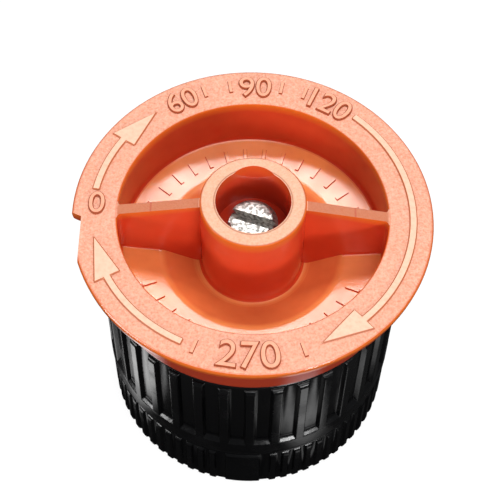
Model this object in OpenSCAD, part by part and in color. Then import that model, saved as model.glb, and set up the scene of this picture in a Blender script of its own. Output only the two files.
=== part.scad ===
// Variable-arc spray nozzle for a pop-up sprinkler riser.
// The origin is on the spray axis at the bottom face of the base, +Z points up.
// The cap's webs lie along X, and its notch, the fixed edge of the spray arc, is at -X.

/* [Cap] */
// Diameter of the dish at its mouth
dish_d = 18.4; // [15:0.1:22.5]
// Width of the flat rim around the dish
rim_w = 3.05; // [2:0.05:4]
// Thickness of the rim
rim_t = 0.7; // [0.5:0.05:1.2]
// Depth of the dish at the foot of its wall
dish_depth = 4.05; // [3.4:0.05:5]
// Fall of the dish floor from the wall to the step
floor_fall = 0.35; // [0.1:0.05:0.6]
// Thickness of the dish floor beside the wall
floor_t = 0.95; // [0.7:0.05:1.2]
// Diameter of the step in the dish floor
step_d = 12.7; // [11:0.1:14.5]
// Depth of the well around the hub
well_depth = 5.7; // [5.2:0.05:6.6]
// Wall of the bowl that hangs under the rim
bowl_wall = 1.65; // [1.2:0.05:1.9]
// Diameter of the hub
hub_d = 7.2; // [6.6:0.05:8.2]
// Height of the hub above the rim
hub_rise = 1.5; // [1.2:0.1:3]
// Diameter of the driver bore in the hub
driver_bore_d = 5.1; // [4.4:0.05:5.8]
// Depth of the driver bore below the hub's top
driver_bore_depth = 3.5; // [2.6:0.1:4.2]
// Thickness of the two webs
web_t = 0.75; // [0.5:0.05:1.2]
// Height of the webs above the rim where they meet the hub
web_rise = 1.1; // [0.2:0.05:1.2]
// Radial depth of the notch in the rim
notch_depth = 0.65; // [0.3:0.05:0.9]
// Angle that the notch takes up
notch_deg = 18; // [10:1:30]
// Radius of the sloping relief in the back of the driver bore's mouth
relief_r = 1.7; // [1.2:0.1:2.2]
// Reach of the relief beyond the driver bore
relief_reach = 0.3; // [0.1:0.05:0.5]
// Depth of the relief
relief_depth = 0.95; // [0.5:0.05:1.2]

/* [Valve] */
// Diameter of the skirt under the cap, which fills the collar's lip
skirt_d = 10.4; // [8.6:0.1:11.5]
// Radial clearance between skirt and lip
valve_gap = 0.1; // [0.06:0.01:0.2]
// Rise of the helical edges in one turn
helix_rise = 1.2; // [0.6:0.1:1.4]
// Overlap of skirt and lip while the valve is shut
valve_overlap = 0.2; // [0.1:0.05:0.4]
// Angle of the tooth that ends each helical edge
tooth_deg = 5; // [3:1:12]
// Wall of the collar's lip
lip_wall = 0.8; // [0.6:0.05:1]
// Gap that the spray leaves through, between collar and bowl
spray_gap = 0.7; // [0.5:0.05:1.2]

/* [Collar] */
// Height of the collar
collar_h = 10.5; // [10:0.1:13]
// Wall of the collar between its ribs
collar_wall = 1; // [0.8:0.05:1.4]
// Gap between the collar and the base ring
seam_gap = 0.25; // [0.15:0.05:0.5]
// Number of ribs around the collar
collar_ribs = 36; // [24:1:45]
// Height of the collar's ribs
collar_rib_h = 0.35; // [0.2:0.05:0.5]
// Width of a collar rib at its crest
collar_rib_w = 0.5; // [0.4:0.05:0.8]
// Height of the plain band under the ribs
band_h = 1.8; // [1:0.1:3]
// Height of the ledge that runs out from the panels to the band
ledge_h = 0.5; // [0.4:0.05:1.2]

/* [Base] */
// Diameter of the riser socket at the roots of its 5/8 in thread
socket_d = 15.9; // [14:0.1:19.2]
// Depth of the riser socket
socket_depth = 8; // [6:0.1:8.4]
// Wall of the base ring outside the socket
ring_wall = 2.5; // [1.8:0.1:3]
// Height of the base ring
base_h = 5.35; // [4.8:0.05:6]
// Number of rib pitches around the base ring
base_ribs = 72; // [48:12:84]
// Height of the base ring's ribs
base_rib_h = 0.2; // [0.15:0.05:0.35]
// Width of a base rib at its crest
base_rib_w = 0.3; // [0.2:0.02:0.4]
// Number of plain pads in the ribbing, each three pitches wide
base_pads = 4; // [1:1:4]
// Wall of the neck outside the socket
neck_wall = 1.3; // [1:0.1:1.6]
// Radial clearance of the collar on the neck
neck_gap = 0.1; // [0.06:0.01:0.2]
// Step in from the neck to the bearing that the collar turns on
bearing_step = 0.85; // [0.6:0.05:1]
// Height of the bearing
bearing_h = 2.4; // [1.6:0.1:2.6]
// Radial clearance of the collar on the bearing
bearing_gap = 0.05; // [0.03:0.01:0.1]
// Wall of the bearing around the water chamber
bearing_wall = 1.9; // [1.5:0.1:2.2]
// Number of spokes that carry the base's hub
spokes = 4; // [3:1:6]
// Width of a spoke
spoke_w = 1.2; // [0.8:0.1:1.6]
// Width of the two keys that hold the stem in line with the base
key_w = 1.2; // [0.8:0.1:1.6]
// Angle of each of the two lugs that stop the collar
stop_deg = 14; // [8:1:20]
// Wall of the base's hub
socket_hub_wall = 1.3; // [0.9:0.1:1.6]

/* [Stem and screw] */
// Diameter of the stem
stem_d = 6; // [5:0.1:7.2]
// Radial clearance of the stem in the base's hub
stem_gap = 0.03; // [0.02:0.01:0.06]
// Reach of the barb that holds the stem under the hub
barb = 0.35; // [0.2:0.05:0.5]
// Outer diameter of the screw's thread, No. 6
screw_d = 3.5; // [2.8:0.1:4]
// Length of the screw
screw_l = 12.3; // [10:0.1:12.5]
// Depth of the screw's top below the rim
screw_drop = 0.75; // [0:0.05:1.5]
// Radial clearance of the screw in the stem
screw_gap = 0.05; // [0.03:0.01:0.1]
// Width of the screw's slot
slot_w = 0.75; // [0.5:0.05:1]
// Depth of the screw's slot
slot_depth = 0.9; // [0.5:0.05:1.2]

/* [Hidden] */
$fn = 96;

// How far one solid runs into the next where they join
sink = 0.3;
// Small step that keeps faces from lying in one plane
skew = 0.02;
// Edge roundings and chamfers
edge = 0.25;
mouth_edge = 0.15;
foot_r = 0.35;
web_fillet_r = 0.25;
chamfer = 0.4;
// Number of flats along one turn of a helical edge
helix_steps = 60;
// Angle of the first collar rib and of the first base pad, and of the screw's slot
collar_rib_a = 1.2;
base_pad_a = -98.8;
slot_a = -18;
// Rib positions that one pad covers, and how far its edges stand in from the outer two
pad_ribs = 4;
pad_inset = 0.36;
// Clearances of the stop lugs and of the keys
stop_gap = 0.1;
stop_gap_deg = 1;
key_gap = 0.04;
key_h = 0.5;

// Radii, from the riser socket outwards
socket_r = socket_d / 2;
neck_r = socket_r + neck_wall;
bearing_r = neck_r - bearing_step;
chamber_r = bearing_r - bearing_wall;
ring_r = socket_r + ring_wall;
base_r = ring_r + base_rib_h;
panel_r = neck_r + neck_gap + collar_wall;
collar_r = panel_r + collar_rib_h;

// Radii of the cap and the valve
dish_r = dish_d / 2;
rim_r = dish_r + rim_w;
bowl_r = dish_r + bowl_wall;
step_r = step_d / 2;
hub_r = hub_d / 2;
skirt_r = skirt_d / 2;
lip_in_r = skirt_r + valve_gap;
lip_out_r = lip_in_r + lip_wall;
stem_r = stem_d / 2;
screw_r = screw_d / 2;

// Heights, from the bottom face upwards
collar_z0 = base_h + seam_gap;
collar_z1 = collar_z0 + collar_h;
bowl_z0 = collar_z1 + spray_gap;
floor_z = bowl_z0 + floor_t;
rim_z = floor_z + dish_depth;
well_z = rim_z - well_depth;
hub_z = rim_z + hub_rise;

// Heights of the valve, from the cap's underside downwards
under_z = well_z - 0.6;
lip_z1 = under_z - 0.4;
lip_z0 = lip_z1 - helix_rise;
skirt_z0 = lip_z0 - valve_overlap;
funnel_z0 = lip_z0 - 0.5;
flange_z0 = funnel_z0 - 0.9;
neck_z1 = flange_z0 - 0.3;
shoulder_z = neck_z1 - bearing_h;
spoke_h = 1.4;
spoke_z0 = shoulder_z - 0.4;
socket_hub_z1 = neck_z1 - 0.2;
stop_z1 = flange_z0 + 0.3;

// Stop lugs, in the middle of the bearing's top; the fixed one starts at -X
stop_r = bearing_r - 1;
stop_w = 0.9;

// Points of an arc about c, and of a curve that leaves p for q and arrives from q at r
function arc(c, radius, from, to, n = 5) =
    [for (i = [0:n]) let (a = from + (to - from) * i / n) c + radius * [cos(a), sin(a)]];
function curve(p, q, r, n = 6) =
    [for (i = [0:n]) let (t = i / n) (1 - t) * (1 - t) * p + 2 * t * (1 - t) * q + t * t * r];
function polar(radius, a) = radius * [cos(a), sin(a)];

// A ring between two levels, and the part of it between two angles
module ring(r_in, r_out, z0, z1) {
    translate([0, 0, z0])
        difference() {
            cylinder(r = r_out, h = z1 - z0);
            translate([0, 0, -1])
                cylinder(r = r_in, h = z1 - z0 + 2);
        }
}

module ring_sector(r_in, r_out, z0, z1, from, to) {
    intersection() {
        ring(r_in, r_out, z0, z1);
        sector(2 * r_out, z0 - 1, z1 + 1, from, to);
    }
}

module sector(reach, z0, z1, from, to) {
    translate([0, 0, z0])
        linear_extrude(z1 - z0)
            polygon([[0, 0], polar(reach, from), polar(reach, to)]);
}

// The solid between a helical face, which rises from z_from to z_to anticlockwise from -X, and
// the flat level z_flat. The first radius is the inner one where the flat level is above.
module helix_wedge(r_first, r_second, z_from, z_to, z_flat) {
    turn = 360 - tooth_deg;
    points = [for (i = [0:helix_steps]) let (
        p = polar(1, 180 + turn * i / helix_steps),
        z = z_from + (z_to - z_from) * i / helix_steps)
        each [[p.x * r_first, p.y * r_first, z], [p.x * r_second, p.y * r_second, z],
              [p.x * r_second, p.y * r_second, z_flat], [p.x * r_first, p.y * r_first, z_flat]]];
    last = 4 * helix_steps;
    sides = [for (i = [0:helix_steps - 1], j = [0:3])
        [4 * i + j, 4 * i + (j + 1) % 4, 4 * i + 4 + (j + 1) % 4, 4 * i + 4 + j]];
    polyhedron(points, concat([[3, 2, 1, 0], [last, last + 1, last + 2, last + 3]], sides));
}

// Outline of a ring of ribs with softened crests. Each pad fills pad_ribs positions.
function rib_ring(count, first_a, root_r, crest_r, root_w, crest_w, soft, pads = 0) =
    let (pitch = 360 / count, tip_r = crest_r + 0.05, side_r = crest_r - soft,
         root_a = root_w / root_r * 90 / PI, tip_a = crest_w / tip_r * 90 / PI,
         side_a = tip_a + soft / tip_r * 180 / PI,
         sector = pads > 0 ? count / pads : count, inset = pads > 0 ? pad_inset * pitch : 0)
    [for (k = [0:count - 1]) let (m = k % sector,
        a = first_a + k * pitch + (m == 0 ? inset : m == pad_ribs - 1 ? -inset : 0))
        each concat(
            pads > 0 && m > 0 && m < pad_ribs ? []
                : [polar(root_r, a - root_a), polar(side_r, a - side_a), polar(tip_r, a - tip_a)],
            pads > 0 && m < pad_ribs - 1 ? []
                : [polar(tip_r, a + tip_a), polar(side_r, a + side_a), polar(root_r, a + root_a)])];

// Base: ribbed ring with the riser socket, neck with the bearing, and the hub on its spokes
module base() {
    color("#17181b") {
        difference() {
            union() {
                rotate_extrude() polygon(base_profile());
                intersection() {
                    translate([0, 0, edge])
                        linear_extrude(base_h - 2 * edge)
                            polygon(rib_ring(base_ribs, base_pad_a, ring_r - sink / 4, base_r,
                                             base_rib_w + 2 * base_rib_h, base_rib_w,
                                             base_rib_h / 3, base_pads));
                    rotate_extrude() polygon(base_rib_envelope());
                }
                translate([0, 0, spoke_z0])
                    cylinder(r = stem_r + stem_gap + socket_hub_wall, h = socket_hub_z1 - spoke_z0);
                for (k = [0:spokes - 1])
                    rotate([0, 0, 45 + 360 * k / spokes])
                        translate([stem_r + socket_hub_wall / 2, -spoke_w / 2, spoke_z0 + skew])
                            cube([chamber_r + sink - stem_r - socket_hub_wall / 2, spoke_w, spoke_h]);
                ring_sector(stop_r - stop_w / 2, stop_r + stop_w / 2, neck_z1 - sink, stop_z1,
                            180, 180 + stop_deg);
            }
            translate([0, 0, spoke_z0 - 1])
                cylinder(r = stem_r + stem_gap, h = socket_hub_z1 - spoke_z0 + 2);
            keys(key_gap, spoke_z0 - 1, socket_hub_z1 + 1);
        }
    }
}

// The two keys on the stem, or with a clearance the keyways in the base's hub
module keys(gap, z0, z1) {
    reach = stem_r + key_h + gap;
    translate([-reach, -key_w / 2 - gap, z0])
        cube([2 * reach, key_w + 2 * gap, z1 - z0]);
}

function base_profile() =
    let (undercut_r = socket_r - 0.55, top_r = 0.35)
    concat(
        [[socket_r + chamfer, 0], [ring_r - edge, 0], [ring_r, edge]],
        arc([ring_r - top_r, base_h - top_r], top_r, 0, 90),
        [[neck_r, base_h], [neck_r, shoulder_z], [bearing_r, shoulder_z],
         [bearing_r, neck_z1 - edge], [bearing_r - edge, neck_z1], [chamber_r, neck_z1],
         [chamber_r, spoke_z0], [undercut_r, spoke_z0], [undercut_r, socket_depth],
         [socket_r, socket_depth], [socket_r, chamfer]]);

// Ring that the base's ribs fill, rounded over towards the seam
function base_rib_envelope() =
    let (over = 0.5, inner_r = neck_r)
    concat(
        [[inner_r, edge / 2], [base_r - edge / 2, edge / 2], [base_r, edge * 2]],
        arc([base_r - over, base_h - edge - over], over, 0, 70),
        [[inner_r, base_h - edge - 0.05]]);

// Arc collar: ribbed shell, flange over the neck and the lip with its helical edge
module arc_collar() {
    color("#1b1c1f") {
        difference() {
            rotate_extrude() polygon(collar_profile());
            helix_wedge(lip_in_r - sink, lip_out_r + sink / 2, lip_z0, lip_z1 - skew, lip_z1 + 1);
            difference() {
                ring(stop_r - stop_w / 2 - stop_gap, stop_r + stop_w / 2 + stop_gap,
                     flange_z0 - 1, stop_z1 + stop_gap);
                sector(2 * stop_r, flange_z0 - 2, stop_z1 + 1,
                       180 - stop_gap_deg - stop_deg, 180 - stop_gap_deg);
            }
        }
        intersection() {
            translate([0, 0, collar_z0 + band_h - sink])
                linear_extrude(collar_h)
                    polygon(rib_ring(collar_ribs, collar_rib_a, panel_r - sink / 2, collar_r,
                                     collar_rib_w + 1.6 * collar_rib_h, collar_rib_w,
                                     collar_rib_h / 5));
            rotate_extrude() polygon(collar_rib_envelope());
        }
    }
}

function collar_profile() =
    let (foot = 0.3, shoulder = 0.15, bend = 0.12, top_land = 0.5,
         ledge_z = collar_z0 + band_h, hip = collar_r - shoulder * (1 - cos(45)),
         bend_z = ledge_z - shoulder * (1 - sin(45)) + hip - panel_r - bend)
    concat(
        [[neck_r + neck_gap + edge, collar_z0]],
        arc([collar_r - foot, collar_z0 + foot], foot, -90, 0),
        arc([collar_r - shoulder, ledge_z - shoulder], shoulder, 0, 45),
        curve([panel_r + bend, bend_z], [panel_r, bend_z + bend], [panel_r, ledge_z + ledge_h]),
        arc([panel_r - edge, collar_z1 - edge], edge, 0, 90),
        [[panel_r - top_land, collar_z1], [lip_out_r + 0.2, funnel_z0], [lip_out_r, funnel_z0 + 0.2],
         [lip_out_r, lip_z1], [lip_in_r, lip_z1], [lip_in_r, flange_z0],
         [bearing_r + bearing_gap, flange_z0], [bearing_r + bearing_gap, shoulder_z + 0.1],
         [neck_r + neck_gap, shoulder_z + 0.1], [neck_r + neck_gap, collar_z0 + edge]]);

// Ring that the collar's ribs fill, with rounded top ends
function collar_rib_envelope() =
    let (over = collar_rib_h, inner_r = panel_r - sink, rib_z1 = collar_z1 - edge)
    concat(
        [[inner_r, collar_z0 + band_h - edge], [collar_r - skew, collar_z0 + band_h - edge]],
        arc([collar_r - skew - over, rib_z1 - over], over, 0, 75),
        [[inner_r, rib_z1 - 0.02]]);

// Deflector cap: rim, dish, hub and webs, with the helical skirt and the stem below
module deflector_cap() {
    color("#e2704a") {
        difference() {
            union() {
                rotate_extrude() polygon(cap_profile());
                for (side = [0, 180])
                    rotate([0, 0, side]) web();
                keys(0, spoke_z0 + sink, socket_hub_z1 + sink);
            }
            translate([0, 0, hub_z - driver_bore_depth])
                cylinder(r = driver_bore_d / 2, h = driver_bore_depth + 1);
            translate([0, driver_bore_d / 2 + relief_reach - relief_r, hub_z - relief_depth])
                cylinder(r1 = relief_r - relief_reach, r2 = relief_r + relief_reach,
                         h = 2 * relief_depth);
            translate([0, 0, spoke_z0 - 3])
                cylinder(r = screw_r + screw_gap, h = hub_z - spoke_z0);
            helix_wedge(skirt_r + sink, stem_r + sink, skirt_z0 + skew,
                        skirt_z0 + helix_rise, skirt_z0 - 1);
            notch();
        }
    }
}

function cap_profile() =
    let (under_fillet = 0.25, bowl_round = 0.6, rim_draft = 0.05, rim_foot = 0.15,
         hub_edge = 0.18, fall_z = floor_z - floor_fall, run = 0.3,
         barb_z = spoke_z0 - 0.05, rim_z0 = rim_z - rim_t,
         slope = floor_fall / (dish_r - foot_r - step_r),
         ramp = (fall_z - well_z) / (step_r - hub_r - foot_r))
    concat(
        [[0, barb_z - 0.9], [stem_r - barb, barb_z - 0.9], [stem_r + barb, barb_z - 0.3],
         [stem_r + barb, barb_z], [stem_r, barb_z], [stem_r, skirt_z0], [skirt_r, skirt_z0],
         [skirt_r, under_z]],
        arc([bowl_r - bowl_round, bowl_z0 + bowl_round], bowl_round, -70, 0),
        arc([bowl_r + under_fillet, rim_z0 - under_fillet], under_fillet, 180, 90),
        arc([rim_r - rim_draft - rim_foot, rim_z0 + rim_foot], rim_foot, -90, 0),
        arc([rim_r - edge, rim_z - edge], edge, 0, 90),
        arc([dish_r + mouth_edge, rim_z - mouth_edge], mouth_edge, 90, 180),
        arc([dish_r - foot_r, floor_z + foot_r], foot_r, 0, -90),
        curve([step_r + run, fall_z + slope * run], [step_r, fall_z],
              [step_r - run, fall_z - ramp * run]),
        curve([hub_r + foot_r * 1.6, well_z + ramp * foot_r * 0.6],
              [hub_r, well_z - ramp * foot_r], [hub_r, well_z + foot_r]),
        arc([hub_r - hub_edge, hub_z - hub_edge], hub_edge, 0, 90),
        [[0, hub_z]]);

// One web, from the hub to the dish wall, with fillets where it meets the wall and the floor
module web() {
    start_x = driver_bore_d / 2 + sink;
    end_x = dish_r + sink;
    rotate([90, 0, 0])
        linear_extrude(web_t, center = true)
            polygon([[start_x, well_z - sink], [hub_r + foot_r, well_z - sink],
                     [step_r, floor_z - floor_fall - sink], [end_x, floor_z - sink],
                     [end_x, rim_z - skew], [dish_r, rim_z - skew],
                     [hub_r, rim_z + web_rise], [start_x, rim_z + web_rise]]);
    for (side = [0, 1])
        mirror([0, side, 0]) {
            translate([0, 0, floor_z - sink])
                linear_extrude(dish_depth + sink - skew)
                    polygon(web_fillet());
            web_foot();
        }
}

function web_fillet() =
    let (radius = web_fillet_r, cy = web_t / 2 + radius,
         cx = sqrt((dish_r - radius) * (dish_r - radius) - cy * cy), a = atan2(cy, cx))
    concat([[cx, web_t / 2 - skew], [dish_r + sink / 2, web_t / 2 - skew],
            polar(dish_r + sink / 2, a)],
           arc([cx, cy], radius, a, -90));

// Fillet along one web's foot, on the outer floor of the dish
module web_foot() {
    tilt = atan2(floor_fall, dish_r - foot_r - step_r);
    translate([step_r, web_t / 2 - skew, floor_z - floor_fall - skew])
        rotate([0, -tilt, 0])
            rotate([90, 0, 90])
                linear_extrude(dish_r - step_r)
                    polygon(concat([[-sink / 2, web_fillet_r], [-sink / 2, -sink / 2],
                                    [web_fillet_r, -sink / 2]],
                                   arc([web_fillet_r, web_fillet_r], web_fillet_r, 270, 180)));
}

// Notch in the rim: a radial face at -X, then a straight run back out to the rim
module notch() {
    first_a = 182;
    far_r = rim_r + 2;
    inner_r = rim_r - notch_depth;
    translate([0, 0, rim_z - rim_t - 1])
        linear_extrude(rim_t + 2)
            polygon(concat([polar(far_r, first_a - 1)],
                           curve(polar(rim_r + 0.1, first_a - 1), polar(rim_r - 0.1, first_a),
                                 polar(inner_r, first_a + 1)),
                           [polar(inner_r, first_a + 3), polar(rim_r + 0.02, first_a + notch_deg),
                            polar(far_r, first_a + notch_deg)]));
}

// Radius screw: headless slotted screw
module radius_screw() {
    point = 0.35;
    translate([0, 0, rim_z - screw_drop - screw_l])
        color("#c9c9c6")
            difference() {
                rotate_extrude()
                    polygon([[0, 0], [screw_r - 2 * point, 0], [screw_r, 2 * point],
                             [screw_r, screw_l - point / 2], [screw_r - point / 2, screw_l],
                             [0, screw_l]]);
                rotate([0, 0, slot_a])
                    translate([-screw_d, -slot_w / 2, screw_l - slot_depth])
                        cube([2 * screw_d, slot_w, slot_depth + 1]);
            }
}

base();
arc_collar();
deflector_cap();
radius_screw();
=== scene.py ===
"""Looks for the variable-arc spray nozzle of a pop-up sprinkler.

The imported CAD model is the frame. This script gives its mouldings their finishes, turns the
screw's and the riser socket's threads into real helices, and puts the raised arrows, ticks and
numbers on the cap.
"""
import logging
import math
from collections.abc import Callable
from dataclasses import dataclass, field
from enum import Enum
from functools import partial

import bmesh
import bpy
from mathutils import Matrix, Vector


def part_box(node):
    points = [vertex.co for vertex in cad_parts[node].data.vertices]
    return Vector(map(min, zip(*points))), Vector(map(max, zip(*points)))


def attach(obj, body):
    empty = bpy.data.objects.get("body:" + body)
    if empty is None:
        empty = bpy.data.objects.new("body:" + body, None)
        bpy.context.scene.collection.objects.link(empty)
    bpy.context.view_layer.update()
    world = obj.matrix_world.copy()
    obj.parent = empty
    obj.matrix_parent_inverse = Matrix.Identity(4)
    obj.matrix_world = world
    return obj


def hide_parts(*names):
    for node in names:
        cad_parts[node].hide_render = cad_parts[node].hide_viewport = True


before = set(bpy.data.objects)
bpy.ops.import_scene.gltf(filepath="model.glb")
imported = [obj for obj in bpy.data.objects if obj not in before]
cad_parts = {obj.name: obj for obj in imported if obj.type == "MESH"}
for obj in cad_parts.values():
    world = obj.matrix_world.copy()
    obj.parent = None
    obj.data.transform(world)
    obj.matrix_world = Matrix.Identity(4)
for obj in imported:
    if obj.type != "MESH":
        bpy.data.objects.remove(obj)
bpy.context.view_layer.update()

MM = 0.001
SUNK_MM = 0.05  # how far a raised mark reaches into the rim
FIGURE_HEIGHT = 0.73  # height of a figure of Blender's own typeface at size 1
Socket = bpy.types.NodeSocket
AddNode = Callable[..., bpy.types.Node]
Colour = tuple[float, float, float, float]
log = logging.getLogger("spray_nozzle")


def linear(hex_colour: str) -> Colour:
    """Turns an sRGB hex colour into the linear colour that shaders take.

    Args:
        hex_colour: Colour such as "#C8431F".

    Returns:
        Linear red, green and blue, with an alpha of 1.
    """
    channels = [int(hex_colour[i:i + 2], 16) / 255 for i in (1, 3, 5)]
    curved = [c / 12.92 if c <= 0.04045 else ((c + 0.055) / 1.055) ** 2.4 for c in channels]
    return (curved[0], curved[1], curved[2], 1.0)


def add_node(tree: bpy.types.NodeTree, kind: str, inputs: dict | None = None,
             **settings: object) -> bpy.types.Node:
    """Adds a node to a tree, with its settings, values and links.

    Args:
        tree: Tree that gets the node.
        kind: Blender's name for the node's type.
        inputs: Value or output socket for each input, by the input's name or number.
        settings: Properties of the node itself.

    Returns:
        The new node.
    """
    node = tree.nodes.new(kind)
    for name, value in settings.items():
        setattr(node, name, value)
    for key, value in (inputs or {}).items():
        if isinstance(value, Socket):
            tree.links.new(value, node.inputs[key])
        else:
            node.inputs[key].default_value = value
    return node


def new_material(name: str) -> tuple[bpy.types.Material, bpy.types.NodeTree]:
    """Makes an empty node material.

    Args:
        name: Name of the material.

    Returns:
        The material and its tree, with no nodes in it.
    """
    material = bpy.data.materials.new(name)
    material.use_nodes = True
    material.node_tree.nodes.clear()
    return material, material.node_tree


def layered(add: AddNode, ground: Socket | Colour, layers: list[tuple[Socket, str]]) -> Socket:
    """Lays colours over a ground, one after the other.

    Args:
        add: Adds a node to the material's tree.
        ground: Lowest colour.
        layers: Mask and sRGB hex colour of each layer.

    Returns:
        The mixed colour.
    """
    for mask, colour in layers:
        ground = add("ShaderNodeMix", {0: mask, 6: ground, 7: linear(colour)},
                     data_type="RGBA").outputs[2]
    return ground


def thin_line(add: AddNode, value: Socket, middle: float, half: float, share: float) -> Socket:
    """Gives the mask of a thin line, drawn where a value is close to the line's middle.

    Args:
        add: Adds a node to the material's tree.
        value: Value that is measured, such as the radius.
        middle: The value at the line's middle, in metres.
        half: Half the width of its full-strength part, in metres.
        share: The mask's value there. It falls to 0 over the next 0.06 mm.

    Returns:
        The mask.
    """
    off = add("ShaderNodeMath", {0: value, 1: middle}, operation="SUBTRACT").outputs[0]
    off = add("ShaderNodeMath", {0: off}, operation="ABSOLUTE").outputs[0]
    return add("ShaderNodeMapRange", {"Value": off, "From Min": half,
                                      "From Max": half + 0.06 * MM, "To Min": share,
                                      "To Max": 0.0}).outputs[0]


class CapFaces:
    """Sockets that tell where on the cap a point is, and masks, 0 to 1, for the cap's faces."""

    def __init__(self, add: AddNode, cap: "DeflectorCap", rim_z: float) -> None:
        """Adds the nodes.

        Args:
            add: Adds a node to the material's tree.
            cap: Cap that the material is for, with its sizes.
            rim_z: Height of the rim's top face, in metres.
        """
        hub_r, dish_r = cap.hub_r * MM, cap.dish_r * MM
        hub_z = rim_z + cap.hub_rise * MM
        self.hub_r, self.dish_r, self.rim_z, self.hub_z = hub_r, dish_r, rim_z, hub_z
        place = add("ShaderNodeTexCoord")
        self.where = place.outputs["Object"]
        self.x, self.y, self.z = add("ShaderNodeSeparateXYZ", {0: self.where}).outputs
        flat = add("ShaderNodeCombineXYZ", {0: self.x, 1: self.y}).outputs[0]
        self.radius = add("ShaderNodeVectorMath", {0: flat}, operation="LENGTH").outputs["Value"]
        up = add("ShaderNodeSeparateXYZ", {0: place.outputs["Normal"]}).outputs[2]
        self.upward = add("ShaderNodeMapRange", {"Value": up, "From Min": 0.75, "From Max": 0.97},
                          interpolation_type="SMOOTHSTEP").outputs[0]
        self.upright = add("ShaderNodeMath", {0: 1.0, 1: self.upward},
                           operation="SUBTRACT").outputs[0]

        # Spark-eroded faces: they point up, at the rim's level or above it, outside the bore
        high = add("ShaderNodeMapRange", {"Value": self.z, "From Min": rim_z - 0.3 * MM,
                                          "From Max": rim_z - 0.05 * MM}).outputs[0]
        at_top = add("ShaderNodeMapRange", {"Value": self.z, "From Min": hub_z - 0.3 * MM,
                                            "From Max": hub_z - 0.1 * MM}).outputs[0]
        off_hub = add("ShaderNodeMapRange", {"Value": self.radius, "From Min": hub_r - 0.2 * MM,
                                             "From Max": hub_r - 0.1 * MM}).outputs[0]
        open_face = add("ShaderNodeMath", {0: at_top, 1: off_hub}, operation="MAXIMUM").outputs[0]
        level = add("ShaderNodeMath", {0: self.upward, 1: high}, operation="MULTIPLY").outputs[0]
        self.matt = add("ShaderNodeMath", {0: level, 1: open_face},
                        operation="MULTIPLY").outputs[0]

        # Webs: between the hub and the dish's wall
        self.past_hub = add("ShaderNodeMapRange", {"Value": self.radius,
                                                   "From Min": hub_r + 0.02 * MM,
                                                   "From Max": hub_r + 0.1 * MM}).outputs[0]
        in_dish = add("ShaderNodeMapRange", {"Value": self.radius, "From Min": dish_r - 0.1 * MM,
                                             "From Max": dish_r + 0.15 * MM, "To Min": 1.0,
                                             "To Max": 0.0}).outputs[0]
        self.on_web = add("ShaderNodeMath", {0: self.past_hub, 1: in_dish},
                          operation="MULTIPLY").outputs[0]

        # Floor of the dish, the inside of the hub's bore, and the underside of the rim
        deep = add("ShaderNodeMapRange", {"Value": self.z, "From Min": rim_z - 2.5 * MM,
                                          "From Max": rim_z - 3 * MM}).outputs[0]
        self.on_floor = add("ShaderNodeMath", {0: self.upward, 1: deep},
                            operation="MULTIPLY").outputs[0]
        self.in_bore = add("ShaderNodeMapRange", {"Value": self.radius,
                                                  "From Min": hub_r - 0.4 * MM,
                                                  "From Max": hub_r - 0.6 * MM}).outputs[0]
        # Outside of the bowl under the rim: this mask carries painted shade, where the rim shades
        # the bowl
        outside = add("ShaderNodeMapRange", {"Value": self.radius, "From Min": dish_r + 1.3 * MM,
                                             "From Max": dish_r + 1.5 * MM}).outputs[0]
        low = add("ShaderNodeMapRange", {"Value": self.z, "From Min": rim_z - 1.0 * MM,
                                         "From Max": rim_z - 1.7 * MM}).outputs[0]
        self.under_rim_shade = add("ShaderNodeMath", {0: outside, 1: low},
                             operation="MULTIPLY").outputs[0]


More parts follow.
